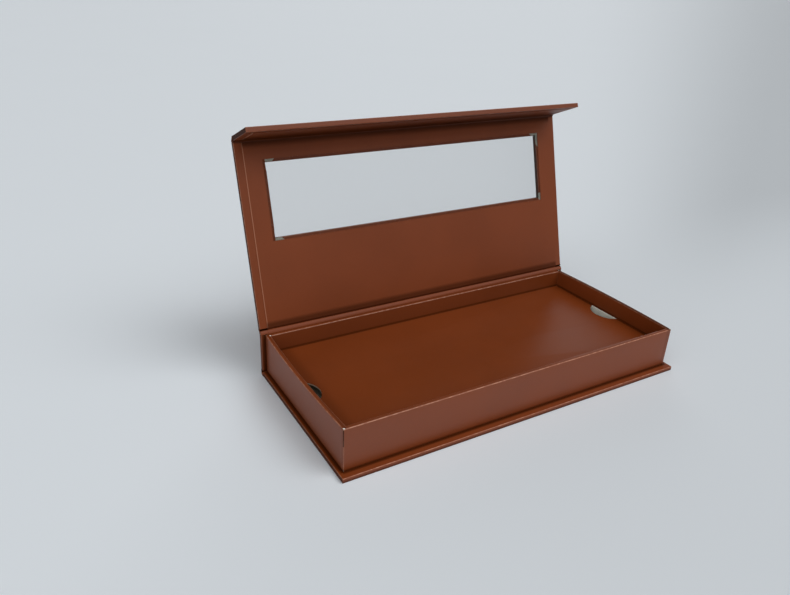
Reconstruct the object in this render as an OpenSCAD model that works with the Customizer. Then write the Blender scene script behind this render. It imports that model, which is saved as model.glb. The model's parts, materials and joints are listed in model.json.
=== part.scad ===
/* [Case] */
// overall width of the base, spine, lid and flap, along the hinge
case_width = 200; // [160:1:240]
// thickness of the greyboard in the case panels
board = 2; // [1.6:0.1:2.5]
// thickness of one layer of covering paper
paper = 0.2; // [0.15:0.01:0.25]
// radius of the paper where it turns round the edge of a board
edge_round = 0.4; // [0.25:0.05:0.45]
// width of the covering paper turned in on the inner faces
turn_in = 12; // [8:0.5:15]
// how far the base stands out past each short side of the tray
side_lip = 2.25; // [1:0.05:5]
// distance from the side edges of a panel to the edge of its inner lining
lining_inset = 4; // [2:0.25:6]
// distance from the free edge of the front flap to the edge of its lining
flap_lining_inset = 3; // [2:0.25:5]

/* [Tray] */
// outer depth of the tray, front to back
tray_depth = 88.2; // [76:0.2:120]
// height of the tray above the base
tray_height = 21.6; // [19:0.2:40]
// thickness of the greyboard in the tray
tray_board = 1.8; // [1.5:0.1:2.2]
// depth of the covering paper turned over the rim and down the inside
rim_turn = 14; // [11:0.5:15]
// width of the bare spot left by the slit in the paper at each rim corner
rim_slit = 0.7; // [0.4:0.1:0.8]

/* [Lid and flap] */
// opening of the lid in the modelled pose, counted from closed
lid_open = 106.1; // [90:0.1:150]
// opening of the front flap in the modelled pose, counted from closed
flap_open = 6.1; // [0:0.1:45]
// space between the closed lid and the rim of the tray
lid_gap = 0.3; // [0.2:0.05:0.6]
// space between the closed flap and the front of the tray
flap_gap = 1.6; // [0.8:0.1:3]
// space between the lower edge of the closed flap and the base
flap_rise = 0.3; // [0.2:0.05:0.6]
// distance from the lid's hinge edge to the window
window_from_hinge = 44; // [24:0.5:52]
// distance from the flap's crease to the window
window_from_crease = 10.9; // [10:0.1:20]
// distance from each side edge of the lid to the window
window_from_side = 14.6; // [14:0.2:40]
// how much wider the opening in the lining is than the window, on each side
lining_margin = 1.3; // [0.8:0.1:2]
// thickness of the clear film
film = 0.1; // [0.08:0.01:0.12]
// how far the film reaches under the lining, from the window's edge
film_margin = 6; // [3:0.5:8]
// width of the covering paper turned in around the window
window_turn = 9; // [8.5:0.1:9.5]
// bare length of the window's side edge at each corner, where the paper is slit
slit_side = 5.5; // [3:0.5:7]
// bare length of the window's long edge at each corner, where the paper is slit
slit_long = 3.5; // [2:0.5:7]

/* [Platform] */
// depth of the platform's face below the rim of the tray
platform_drop = 9.2; // [5:0.1:11]
// thickness of the folded card
card = 0.6; // [0.4:0.1:1]
// space between the platform and the walls of the tray
platform_gap = 0.4; // [0.3:0.1:1]
// space under the legs of the platform
platform_seat = 0.05; // [0.02:0.01:0.1]
// width of each thumb notch where it meets the edge
notch_chord = 20; // [16:0.5:26]
// depth of each thumb notch
notch_depth = 7; // [6:0.25:9]

/* [Magnets] */
// diameter of the disc magnets
magnet_diameter = 10; // [6:0.5:12]
// thickness of the disc magnets
magnet_thickness = 1; // [0.8:0.1:1.2]
// distance from the side edges of the flap to the centre of each magnet
magnet_from_side = 40; // [20:1:60]
// play around a magnet in its pocket
magnet_play = 0.1; // [0.05:0.01:0.2]

/* [Hidden] */
// one overrun serves every cut
over = 1;
// opacity of the clear film
film_alpha = 0.35;
// facets of a turned edge, of a notch and of a disc
edge_facets = 16;
notch_facets = 64;
disc_facets = 40;

// case panels: covering paper, greyboard, paper turned in
panel = board + 2 * paper;
half_width = case_width / 2;
case_depth = panel + tray_depth + flap_gap + panel;
back = case_depth / 2;
front = -back;
// outer radius of the paper where it turns up from the base to the spine
corner_round = 1.4;
// height of the hollow between the base board and the foot of the spine board
corner_slot = 1;

// tray: outer faces, inner faces and levels
wall = tray_board + 2 * paper;
tray_x = half_width - side_lip;
tray_back = back - panel;
tray_front = tray_back - tray_depth;
tray_low = panel;
rim = panel + tray_height;
floor_low = tray_low + paper;
floor_top = floor_low + tray_board;
well_x = tray_x - wall;
well_back = tray_back - wall;
well_front = tray_front + wall;

// closed lid: inner face of the covered board, and outer face
lid_low = rim + lid_gap + paper;
lid_top = lid_low + panel;
crease = front + panel;
flap_low = panel + flap_rise;

// play at the crease between lid and flap, and between their linings
crease_gap = 0.1;
flap_high = lid_low - crease_gap;

// hinge lines, standing in for the bending paper
lid_axis_out = 0.4;
lid_axis_y = back + lid_axis_out;
lid_axis_z = lid_low + panel / 2 + paper;
diagonal_share = sqrt(0.5);
flap_axis_y = crease - panel * diagonal_share;
flap_axis_z = lid_low + panel * diagonal_share;

// window: opening cut in the lid board
window_x = half_width - window_from_side;
window_back = back - window_from_hinge;
window_front = crease + window_from_crease;
window_middle = (window_back + window_front) / 2;
window_y = (window_back - window_front) / 2;
// how far the bare corners reach out from the window, and down its edge
slit_reach = 2.2;
slit_depth = 1.8;

// platform: outer faces and levels
deck_x = well_x - platform_gap;
deck_back = well_back - platform_gap;
deck_front = well_front + platform_gap;
deck_top = rim - platform_drop;
deck_card_top = deck_top - paper;
deck_low = deck_card_top - card;
leg_low = floor_top + platform_seat;
deck_middle = (deck_back + deck_front) / 2;
notch_radius = (notch_chord * notch_chord / 4 + notch_depth * notch_depth) / (2 * notch_depth);

// magnets: pockets face each other across the closed flap
magnet_x = half_width - magnet_from_side;
magnet_z = (flap_low + flap_high) / 2;
pocket_depth = magnet_thickness + magnet_play;

// turns a point [y, z] about a centre, from the front over the top to the back
function turned(point, centre, angle) = [
    centre.x + (point.x - centre.x) * cos(angle) + (point.y - centre.y) * sin(angle),
    centre.y - (point.x - centre.x) * sin(angle) + (point.y - centre.y) * cos(angle)
];
function on_lid(point) = turned(point, [lid_axis_y, lid_axis_z], lid_open);
function on_flap(point) = on_lid(turned(point, [flap_axis_y, flap_axis_z], flap_open));

// swings a closed piece to the modelled opening of the lid
module swing_lid() {
    translate([0, lid_axis_y, lid_axis_z])
        rotate([-lid_open, 0, 0])
            translate([0, -lid_axis_y, -lid_axis_z])
                children();
}

// swings a closed piece to the modelled opening of lid and flap
module swing_flap() {
    swing_lid()
        translate([0, flap_axis_y, flap_axis_z])
            rotate([-flap_open, 0, 0])
                translate([0, -flap_axis_y, -flap_axis_z])
                    children();
}

// plain block between two corners
module block(low, high) {
    translate(low) cube(high - low);
}

// outline between two corners with rounded corners
module rounded_outline(low, high, radius) {
    translate([low.x + radius, low.y]) square([high.x - low.x - 2 * radius, high.y - low.y]);
    translate([low.x, low.y + radius]) square([high.x - low.x, high.y - low.y - 2 * radius]);
    for (x = [low.x + radius, high.x - radius]) {
        for (y = [low.y + radius, high.y - radius]) {
            translate([x, y]) circle(r = radius, $fn = edge_facets);
        }
    }
}

// block between two corners, with every edge turned as paper turns round a board
module covered_block(low, high, radius) {
    intersection() {
        translate([low.x, 0, 0])
            rotate([90, 0, 90])
                linear_extrude(high.x - low.x)
                    rounded_outline([low.y, low.z], [high.y, high.z], radius);
        translate([0, high.y, 0])
            rotate([90, 0, 0])
                linear_extrude(high.y - low.y)
                    rounded_outline([low.x, low.z], [high.x, high.z], radius);
        translate([0, 0, low.z])
            linear_extrude(high.z - low.z)
                rounded_outline([low.x, low.y], [high.x, high.y], radius);
    }
}

// profile of the tray's hollow, which flares where the paper turns over the rim
module well_outline(low, high, radius) {
    translate(low) square([high.x - low.x, high.y - low.y + over]);
    difference() {
        translate([low.x - radius, high.y - radius]) square([high.x - low.x + 2 * radius, radius + over]);
        for (x = [low.x - radius, high.x + radius]) {
            translate([x, high.y - radius]) circle(r = radius, $fn = edge_facets);
        }
    }
}

// hollow of the tray between two corners, open at the top
module well(low, high, radius) {
    intersection() {
        translate([low.x - over, 0, 0])
            rotate([90, 0, 90])
                linear_extrude(high.x - low.x + 2 * over)
                    well_outline([low.y, low.z], [high.y, high.z], radius);
        translate([0, high.y + over, 0])
            rotate([90, 0, 0])
                linear_extrude(high.y - low.y + 2 * over)
                    well_outline([low.x, low.z], [high.x, high.z], radius);
    }
}

// strip between four points [y, z], running along the hinge
module strip(points, half_length) {
    translate([-half_length, 0, 0])
        rotate([90, 0, 90])
            linear_extrude(2 * half_length)
                polygon(points);
}

// disc standing on edge, with its axis along the depth
module disc(x, y_low, y_high, z, radius) {
    translate([x, y_high, z])
        rotate([90, 0, 0])
            cylinder(h = y_high - y_low, r = radius, $fn = disc_facets);
}

// greyboard under the tray
module base_board() {
    color("#a8a294")
        block([-half_width + paper, front + paper, paper], [half_width - paper, tray_back, paper + board]);
}

// covering paper of the base: underside, three turned edges and the strips turned in on top
module base_wrap() {
    color("#6b3626")
        difference() {
            intersection() {
                covered_block([-half_width, front, 0], [half_width, back + over, panel], edge_round);
                block(
                    [-half_width - over, front - over, -over],
                    [half_width + over, tray_back, panel + over]
                );
            }
            block(
                [-half_width + paper, front + paper, paper],
                [half_width - paper, tray_back + over, paper + board]
            );
            block(
                [-half_width + turn_in, front + turn_in, paper],
                [half_width - turn_in, tray_back + over, panel + over]
            );
        }
}

// upright greyboard behind the tray
module spine_board() {
    color("#a8a294")
        block(
            [-half_width + paper, tray_back + paper, panel + corner_slot],
            [half_width - paper, back - paper, rim]
        );
}

// outline of the covering paper where it turns from under the base up to the spine
module corner_outline() {
    difference() {
        union() {
            translate([tray_back, 0]) square([panel - corner_round, panel]);
            translate([tray_back, corner_round]) square([panel, panel + corner_slot - corner_round]);
            translate([back - corner_round, corner_round]) circle(r = corner_round, $fn = 4 * edge_facets);
        }
        translate([tray_back - over, paper]) square([over + panel - corner_round, panel + corner_slot]);
        translate([tray_back - over, corner_round]) square([over + panel - paper, panel + corner_slot]);
        translate([back - corner_round, corner_round])
            circle(r = corner_round - paper, $fn = 4 * edge_facets);
    }
}

// covering paper of the spine, turned round its two ends, with the corner to the base
module spine_wrap() {
    color("#6b3626")
        union() {
            translate([-half_width, 0, 0])
                rotate([90, 0, 90])
                    linear_extrude(case_width)
                        corner_outline();
            difference() {
                intersection() {
                    covered_block([-half_width, tray_back, 0], [half_width, back, rim + over], edge_round);
                    block(
                        [-half_width - over, tray_back - over, panel + corner_slot],
                        [half_width + over, back + over, rim]
                    );
                }
                block(
                    [-half_width + paper, tray_back + paper, 0],
                    [half_width - paper, back - paper, rim + over]
                );
                block(
                    [-half_width + lining_inset, tray_back - over, 0],
                    [half_width - lining_inset, tray_back + paper, rim + over]
                );
            }
        }
}

// lining between the back of the tray and the spine, which carries on up to the lid
module spine_lining() {
    color("#6b3626")
        block(
            [-half_width + lining_inset, tray_back, panel + corner_slot],
            [half_width - lining_inset, tray_back + paper, rim]
        );
}

// greyboard of the tray's floor
module tray_floor() {
    color("#a8a294")
        block(
            [-tray_x + paper, tray_front + paper, floor_low],
            [tray_x - paper, tray_back - paper, floor_top]
        );
}

// front wall of the tray, with a pocket for each magnet in its outer face
module tray_wall_front() {
    color("#a8a294")
        difference() {
            block(
                [-tray_x + paper, tray_front + paper, floor_top],
                [tray_x - paper, tray_front + paper + tray_board, rim - paper]
            );
            for (side = [-1, 1]) {
                disc(
                    side * magnet_x,
                    tray_front + paper - over,
                    tray_front + paper + pocket_depth,
                    magnet_z,
                    magnet_diameter / 2 + magnet_play
                );
            }
        }
}

// back wall of the tray
module tray_wall_back() {
    color("#a8a294")
        block(
            [-tray_x + paper, tray_back - paper - tray_board, floor_top],
            [tray_x - paper, tray_back - paper, rim - paper]
        );
}

// one short wall of the tray, between the front and back walls
module short_wall() {
    block(
        [tray_x - paper - tray_board, tray_front + paper + tray_board, floor_top],
        [tray_x - paper, tray_back - paper - tray_board, rim - paper]
    );
}

// left wall of the tray
module tray_wall_left() {
    color("#a8a294") mirror([1, 0, 0]) short_wall();
}

// right wall of the tray
module tray_wall_right() {
    color("#a8a294") short_wall();
}

// covering paper of the tray: under its edges, up the outside, over the rim and down the inside
module tray_wrap() {
    color("#6b3626")
        difference() {
            covered_block([-tray_x, tray_front, tray_low], [tray_x, tray_back, rim], edge_round);
            well([-well_x, well_front, floor_top], [well_x, well_back, rim], edge_round);
            difference() {
                block(
                    [-tray_x + paper, tray_front + paper, floor_low],
                    [tray_x - paper, tray_back - paper, rim - paper]
                );
                block(
                    [-well_x - paper, well_front - paper, rim - rim_turn],
                    [well_x + paper, well_back + paper, rim]
                );
            }
            block(
                [-tray_x + turn_in, tray_front + turn_in, tray_low - over],
                [tray_x - turn_in, tray_back - turn_in, floor_low + over]
            );
            for (x = [-tray_x + wall / 2, tray_x - wall / 2]) {
                for (y = [tray_front + wall / 2, tray_back - wall / 2]) {
                    translate([x, y, rim - paper]) cylinder(h = over, r = rim_slit / 2, $fn = edge_facets);
                }
            }
        }
}

// disc magnet behind the paper of the tray's front
module tray_magnet(side) {
    disc(
        side * magnet_x,
        tray_front + paper,
        tray_front + paper + magnet_thickness,
        magnet_z,
        magnet_diameter / 2
    );
}

// left magnet of the tray
module tray_magnet_left() {
    color("#9a9ca0") tray_magnet(-1);
}

// right magnet of the tray
module tray_magnet_right() {
    color("#9a9ca0") tray_magnet(1);
}

// covering paper that bends between the spine and the outer face of the lid
module lid_hinge_wrap() {
    color("#6b3626")
        strip(
            [[back - paper, rim], [back, rim], on_lid([back, lid_top]), on_lid([back, lid_top - paper])],
            half_width
        );
}

// lining that bends between the back of the tray and the inner face of the lid
module lid_hinge_lining() {
    color("#6b3626")
        strip(
            [
                [tray_back, rim],
                on_lid([back, lid_low - paper]),
                on_lid([back, lid_low]),
                [tray_back + paper, rim]
            ],
            half_width - lining_inset
        );
}

// greyboard of the lid, with the window cut out
module lid_board() {
    color("#a8a294")
        swing_lid()
            difference() {
                block(
                    [-half_width + paper, crease, lid_low + paper],
                    [half_width - paper, back, lid_top - paper]
                );
                block([-window_x, window_front, lid_low], [window_x, window_back, lid_top]);
            }
}

// profile of the window, with paper turned round its edge on both faces
module window_outline(low, high) {
    difference() {
        translate([low.x - edge_round, low.y - over])
            square([high.x - low.x + 2 * edge_round, high.y - low.y + 2 * over]);
        rounded_outline([low.x - turn_in, low.y], [low.x, high.y], edge_round);
        rounded_outline([high.x, low.y], [high.x + turn_in, high.y], edge_round);
    }
}

// opening of the window, inside the paper that lines its edge
module window_hole() {
    intersection() {
        translate([-half_width, 0, 0])
            rotate([90, 0, 90])
                linear_extrude(case_width)
                    window_outline([window_front + paper, lid_low], [window_back - paper, lid_top]);
        translate([0, back, 0])
            rotate([90, 0, 0])
                linear_extrude(back - crease)
                    window_outline([-window_x + paper, lid_low], [window_x - paper, lid_top]);
    }
}

// tapering cut that bares the edge of the window down from one corner
module slit_wedge(length) {
    linear_extrude(over + paper)
        polygon([
            [over, -over],
            [-length, -over],
            [-length, 0],
            [0, slit_depth],
            [over, slit_depth]
        ]);
}

// bare spot at one corner of the window, where the turned paper is slit
module bare_corner() {
    translate([window_x, window_y, lid_low - over])
        linear_extrude(over + paper)
            polygon([
                [0, 0],
                [0, -slit_side],
                [slit_reach, -slit_side - slit_reach],
                [slit_reach, slit_reach],
                [-slit_long - slit_reach, slit_reach],
                [-slit_long, 0]
            ]);
    translate([window_x - paper - over, window_y, lid_low]) rotate([90, 0, 90]) slit_wedge(slit_side);
    translate([window_x, window_y, lid_low]) rotate([90, 0, 0]) slit_wedge(slit_long);
}

// covering paper of the lid: outer face, side edges, strips turned in, and the edge of the window
module lid_wrap() {
    color("#6b3626")
        swing_lid()
            difference() {
                intersection() {
                    covered_block(
                        [-half_width, crease - over, lid_low],
                        [half_width, back + over, lid_top],
                        edge_round
                    );
                    block(
                        [-half_width - over, crease, lid_low - over],
                        [half_width + over, back, lid_top + over]
                    );
                }
                difference() {
                    block(
                        [-half_width + paper, crease - over, lid_low + paper],
                        [half_width - paper, back + over, lid_top - paper]
                    );
                    block([-window_x, window_front, lid_low], [window_x, window_back, lid_top]);
                }
                difference() {
                    block(
                        [-half_width + turn_in, crease - over, lid_low - over],
                        [half_width - turn_in, back + over, lid_low + paper]
                    );
                    block(
                        [-window_x - window_turn, window_front - window_turn, lid_low - 2 * over],
                        [window_x + window_turn, window_back + window_turn, lid_low + over]
                    );
                }
                window_hole();
                translate([0, window_middle, 0]) {
                    for (x = [0, 1]) {
                        for (y = [0, 1]) {
                            mirror([x, 0, 0]) mirror([0, y, 0]) bare_corner();
                        }
                    }
                }
            }
}

// clear film of the window, held under the lining
module window_film() {
    color("#d9e6e6", film_alpha)
        swing_lid()
            block(
                [-window_x - film_margin, window_front - film_margin, lid_low - film],
                [window_x + film_margin, window_back + film_margin, lid_low]
            );
}

// lining of the lid, let down between the turned strips, with its own wider window
module lid_lining() {
    color("#6b3626")
        swing_lid()
            difference() {
                union() {
                    block(
                        [-half_width + lining_inset, crease, lid_low - paper],
                        [half_width - lining_inset, back, lid_low]
                    );
                    difference() {
                        block(
                            [-half_width + turn_in, crease, lid_low - paper],
                            [half_width - turn_in, back, lid_low + paper]
                        );
                        block(
                            [-window_x - window_turn, window_front - window_turn, lid_low],
                            [window_x + window_turn, window_back + window_turn, lid_low + over]
                        );
                    }
                }
                block(
                    [-window_x - film_margin, window_front - film_margin, lid_low - film],
                    [window_x + film_margin, window_back + film_margin, lid_low + over]
                );
                block(
                    [-window_x - lining_margin, window_front - lining_margin, lid_low - over],
                    [window_x + lining_margin, window_back + lining_margin, lid_low + over]
                );
            }
}

// covering paper that bends between the outer faces of the lid and the flap
module flap_hinge_wrap() {
    color("#6b3626")
        strip(
            [
                on_lid([crease, lid_top]),
                on_lid([crease, lid_top - paper]),
                on_flap([front + paper, flap_high]),
                on_flap([front, flap_high])
            ],
            half_width
        );
}

// greyboard of the flap, with a pocket for each magnet in its inner face
module flap_board() {
    color("#a8a294")
        swing_flap()
            difference() {
                block(
                    [-half_width + paper, front + paper, flap_low + paper],
                    [half_width - paper, crease - paper, flap_high]
                );
                for (side = [-1, 1]) {
                    disc(
                        side * magnet_x,
                        crease - paper - pocket_depth,
                        crease - paper + over,
                        magnet_z,
                        magnet_diameter / 2 + magnet_play
                    );
                }
            }
}

// covering paper of the flap, turned round three edges
module flap_wrap() {
    color("#6b3626")
        swing_flap()
            difference() {
                intersection() {
                    covered_block([-half_width, front, flap_low], [half_width, crease, lid_top], edge_round);
                    block(
                        [-half_width - over, front - over, flap_low - over],
                        [half_width + over, crease + over, flap_high]
                    );
                }
                block(
                    [-half_width + paper, front + paper, flap_low + paper],
                    [half_width - paper, crease - paper, lid_top]
                );
                block(
                    [-half_width + turn_in, crease - paper, flap_low + turn_in],
                    [half_width - turn_in, crease + over, lid_top]
                );
            }
}

// lining of the flap, let down between the turned strips
module flap_lining() {
    color("#6b3626")
        swing_flap()
            union() {
                block(
                    [-half_width + lining_inset, crease, flap_low + flap_lining_inset],
                    [half_width - lining_inset, crease + paper, flap_high - paper]
                );
                block(
                    [-half_width + turn_in, crease - paper, flap_low + turn_in],
                    [half_width - turn_in, crease + paper, flap_high - paper]
                );
            }
}

// disc magnet behind the lining of the flap
module flap_magnet(side) {
    swing_flap()
        disc(
            side * magnet_x,
            crease - paper - magnet_thickness,
            crease - paper,
            magnet_z,
            magnet_diameter / 2
        );
}

// left magnet of the flap
module flap_magnet_left() {
    color("#9a9ca0") flap_magnet(-1);
}

// right magnet of the flap
module flap_magnet_right() {
    color("#9a9ca0") flap_magnet(1);
}

// the two thumb notches, cut from the short edges of the platform
module notches(low, high) {
    for (side = [-1, 1]) {
        translate([side * (deck_x + notch_radius - notch_depth), deck_middle, low])
            cylinder(h = high - low, r = notch_radius, $fn = notch_facets);
    }
}

// raw card of the platform's top, with its thumb notches
module platform_card() {
    color("#b3ad9f")
        difference() {
            block([-deck_x, deck_front, deck_low], [deck_x, deck_back, deck_card_top]);
            notches(deck_low - over, deck_card_top + over);
        }
}

// brown paper on the platform's top, cut with the card
module platform_face() {
    color("#6b3626")
        difference() {
            block([-deck_x, deck_front, deck_card_top], [deck_x, deck_back, deck_top]);
            notches(deck_card_top - over, deck_top + over);
        }
}

// front leg of the platform, folded down to the floor
module platform_leg_front() {
    color("#b3ad9f") block([-deck_x, deck_front, leg_low], [deck_x, deck_front + card, deck_low]);
}

// back leg of the platform
module platform_leg_back() {
    color("#b3ad9f") block([-deck_x, deck_back - card, leg_low], [deck_x, deck_back, deck_low]);
}

// one short leg of the platform, which stands up to the face where the notch bares its fold
module short_leg() {
    block([deck_x - card, deck_front + card, leg_low], [deck_x, deck_back - card, deck_low]);
    intersection() {
        block([deck_x - card, deck_front + card, deck_low], [deck_x, deck_back - card, deck_card_top]);
        notches(deck_low, deck_card_top);
    }
}

// left leg of the platform
module platform_leg_left() {
    color("#b3ad9f") mirror([1, 0, 0]) short_leg();
}

// right leg of the platform
module platform_leg_right() {
    color("#b3ad9f") short_leg();
}

base_board();
base_wrap();
spine_board();
spine_wrap();
spine_lining();
tray_floor();
tray_wall_front();
tray_wall_back();
tray_wall_left();
tray_wall_right();
tray_wrap();
tray_magnet_left();
tray_magnet_right();
lid_hinge_wrap();
lid_hinge_lining();
lid_board();
lid_wrap();
window_film();
lid_lining();
flap_hinge_wrap();
flap_board();
flap_wrap();
flap_lining();
flap_magnet_left();
flap_magnet_right();
platform_card();
platform_face();
platform_leg_front();
platform_leg_back();
platform_leg_left();
platform_leg_right();
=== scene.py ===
"""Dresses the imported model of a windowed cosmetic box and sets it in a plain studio."""

import json
import math
from collections import namedtuple

import bmesh
import bpy
from mathutils import Matrix, Vector, noise


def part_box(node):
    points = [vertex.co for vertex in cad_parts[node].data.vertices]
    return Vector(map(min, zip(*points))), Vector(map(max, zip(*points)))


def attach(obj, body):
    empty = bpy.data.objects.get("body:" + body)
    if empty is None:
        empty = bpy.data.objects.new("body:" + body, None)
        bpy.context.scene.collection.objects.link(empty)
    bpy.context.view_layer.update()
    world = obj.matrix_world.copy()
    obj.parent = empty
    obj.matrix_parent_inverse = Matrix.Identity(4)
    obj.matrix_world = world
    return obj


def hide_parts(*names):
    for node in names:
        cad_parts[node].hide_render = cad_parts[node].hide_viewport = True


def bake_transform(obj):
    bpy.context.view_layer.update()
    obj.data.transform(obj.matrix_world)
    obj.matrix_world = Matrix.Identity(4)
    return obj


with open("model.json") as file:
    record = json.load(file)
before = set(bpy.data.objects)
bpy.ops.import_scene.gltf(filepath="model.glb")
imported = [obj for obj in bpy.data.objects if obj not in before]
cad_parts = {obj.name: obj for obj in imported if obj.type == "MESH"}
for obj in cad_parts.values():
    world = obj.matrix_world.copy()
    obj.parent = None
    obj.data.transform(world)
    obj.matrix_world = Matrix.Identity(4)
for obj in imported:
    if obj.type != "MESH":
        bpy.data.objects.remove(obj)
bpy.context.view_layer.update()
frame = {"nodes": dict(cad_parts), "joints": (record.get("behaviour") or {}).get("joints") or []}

bl_info = {
    "name": "Windowed Cosmetic Box",
    "version": (1, 0, 0),
    "blender": (4, 5, 0),
    "location": "View3D > Sidebar > Cosmetic Box",
    "description": "Papers, tray, hinges, window and platform of a rigid cosmetic box, with its studio",
    "category": "Object",
}

MM = 0.001
LEFT, RIGHT = -1, 1
FRONT, BACK = -1, 1
SIDES = {LEFT: "left", RIGHT: "right"}
ENDS = {FRONT: "front", BACK: "back"}
NODES = frame["nodes"]
JOINTS = {joint["name"]: joint for joint in frame["joints"]}


def shutting(joint):
    """Matrix that swings a piece from the modelled pose to where the shut box has it"""
    spot = Vector(joint["pos_m"])
    turn = Matrix.Rotation(math.radians(joint["range_deg"][0]), 4, Vector(joint["axis"]))
    return Matrix.Translation(spot) @ turn @ Matrix.Translation(-spot)


LID_SHUTS = shutting(JOINTS["lid_hinge"])
FLAP_SHUTS = LID_SHUTS @ shutting(JOINTS["flap_hinge"])
LID_OPENS = LID_SHUTS.inverted()
FLAP_OPENS = FLAP_SHUTS.inverted()


def shut_corners(node, shuts):
    """Corners of a CAD node once the box is shut"""
    return [shuts @ vertex.co for vertex in NODES[node].data.vertices]


def span(corners):
    """Lowest and highest corner of the box round some corners"""
    low = Vector(min(corner[i] for corner in corners) for i in range(3))
    high = Vector(max(corner[i] for corner in corners) for i in range(3))
    return low, high


def shut_box(node, shuts):
    """Lowest and highest corner of a CAD node once the box is shut"""
    return span(shut_corners(node, shuts))


def window_hole():
    """Lowest and highest corner of the hole in the lid's board, in the shut box"""
    corners = shut_corners("lid_board", LID_SHUTS)
    low, high = span(corners)
    return span([corner for corner in corners if low.x + MM < corner.x < high.x - MM])


TRAY_LOW, TRAY_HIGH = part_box("tray_wrap")
WALL_LOW, WALL_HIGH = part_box("tray_wall_left")
SPINE_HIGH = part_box("spine_wrap")[1]
LINING_LOW, LINING_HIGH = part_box("spine_lining")
DECK_LOW, DECK_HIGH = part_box("platform_face")
LID_LOW, LID_HIGH = shut_box("lid_wrap", LID_SHUTS)
LID_LINING_LOW, LID_LINING_HIGH = shut_box("lid_lining", LID_SHUTS)
FLAP_LOW, FLAP_HIGH = shut_box("flap_wrap", FLAP_SHUTS)
FLAP_LINING_HIGH = shut_box("flap_lining", FLAP_SHUTS)[1]
PAPER = LINING_HIGH.y - LINING_LOW.y
WALL = WALL_HIGH.x - WALL_LOW.x + 2 * PAPER
WALL_STEPS = 28

BLACK = (0.0, 0.0, 0.0)
FOLDED_CARD = (0.5, 0.37, 0.28)
# The pale slit colour is board painted as bright as a glint; the near-black slit colour is painted shade
# standing for the hollow where the paper is slit.
SLIT_BOARD_GLINT = (0.95, 0.92, 0.84)
SLIT_NICK_SHADE = (0.03, 0.012, 0.008)
DULL_NICKEL = (0.46, 0.45, 0.43)
BRIGHT_NICKEL = (0.62, 0.61, 0.58)
CLEAR_FILM = (0.08, 0.09, 0.09)
DUSTY_FILM = (0.5, 0.52, 0.52)
FILM_IOR = 1.45

# Each of these is a band of painted shade on a piece, in millimetres as in the shut box. It is deepest up to
# near from its edge along an axis and gone at far. Its limits along other axes are each (axis, low, high).
PaintedShade = namedtuple("PaintedShade", "axis edge near far depth within", defaults=((),))

# A fleck lies beside a slit of the tray's rim, shifted from it towards the tray's middle, and by a share
# of that, its slant, towards the back.
Fleck = namedtuple("Fleck", "shift radius")
SLIT_FLECKS = (Fleck(shift=-0.2 * MM, radius=0.5 * MM), Fleck(shift=0.55 * MM, radius=0.34 * MM))
SLIT_SLANT = 0.3
# How far in from the tray's corner each slit lies.
SLIT_INSETS = {
    (LEFT, FRONT): 0.75 * MM,
    (LEFT, BACK): 1.9 * MM,
    (RIGHT, BACK): 1.3 * MM,
    (RIGHT, FRONT): 0.9 * MM,
}

SoftLight = namedtuple("SoftLight", "azimuth elevation spread strength")
SOFT_LIGHTS = (
    SoftLight(azimuth=137, elevation=50, spread=30, strength=3.57),
    SoftLight(azimuth=0, elevation=90, spread=60, strength=0.09),
    SoftLight(azimuth=227, elevation=40, spread=51, strength=1.36),
    SoftLight(azimuth=34, elevation=14, spread=24, strength=1.93),
)


class BoxSettings(bpy.types.PropertyGroup):
    """Sizes and colours of the box's own pieces"""

    wall_bow: bpy.props.FloatProperty(
        name="Wall Bow",
        description="How far the short walls of the tray lean out at the middle of their rim",
        default=1.3 * MM,
        subtype="DISTANCE",
        unit="LENGTH",
    )
    fold: bpy.props.FloatProperty(
        name="Fold",
        description="Radius of the covering paper where it turns over a board",
        default=0.6 * MM,
        subtype="DISTANCE",
        unit="LENGTH",
    )
    corner: bpy.props.FloatProperty(
        name="Corner",
        description="Radius of the tray's upright corners",
        default=0.7 * MM,
        subtype="DISTANCE",
        unit="LENGTH",
    )
    turn_in: bpy.props.FloatProperty(
        name="Turn In",
        description="Width of the covering paper turned in on hidden faces",
        default=12 * MM,
        subtype="DISTANCE",
        unit="LENGTH",
    )
    rim_turn: bpy.props.FloatProperty(
        name="Rim Turn",
        description="Depth of the covering paper down the inside of the tray",
        default=14 * MM,
        subtype="DISTANCE",
        unit="LENGTH",
    )
    lap: bpy.props.FloatProperty(
        name="Lap",
        description="Width of the lapped paper end at the tray's front left corner",
        default=2 * MM,
        subtype="DISTANCE",
        unit="LENGTH",
    )
    deck_fold: bpy.props.FloatProperty(
        name="Platform Fold",
        description="Radius of the folds round the platform",
        default=0.6 * MM,
        subtype="DISTANCE",
        unit="LENGTH",
    )
    brown: bpy.props.FloatVectorProperty(
        name="Brown",
        description="Colour of the covering paper",
        default=(0.183, 0.033, 0.0012),
        subtype="COLOR",
        size=3,
        min=0,
        max=1,
    )
    # This colour is both worn paper and the painted highlight on folds and edges.
    worn_highlight_brown: bpy.props.FloatVectorProperty(
        name="Worn Brown",
        description="Colour of the paper where folds and edges have rubbed",
        default=(0.46, 0.2, 0.115),
        subtype="COLOR",
        size=3,
        min=0,
        max=1,
    )
    grey: bpy.props.FloatVectorProperty(
        name="Greyboard",
        description="Colour of the bare board",
        default=(0.47, 0.46, 0.38),
        subtype="COLOR",
        size=3,
        min=0,
        max=1,
    )
    card: bpy.props.FloatVectorProperty(
        name="Card",
        description="Colour of the raw inner side of the platform",
        default=(0.86, 0.86, 0.76),
        subtype="COLOR",
        size=3,
        min=0,
        max=1,
    )


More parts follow.
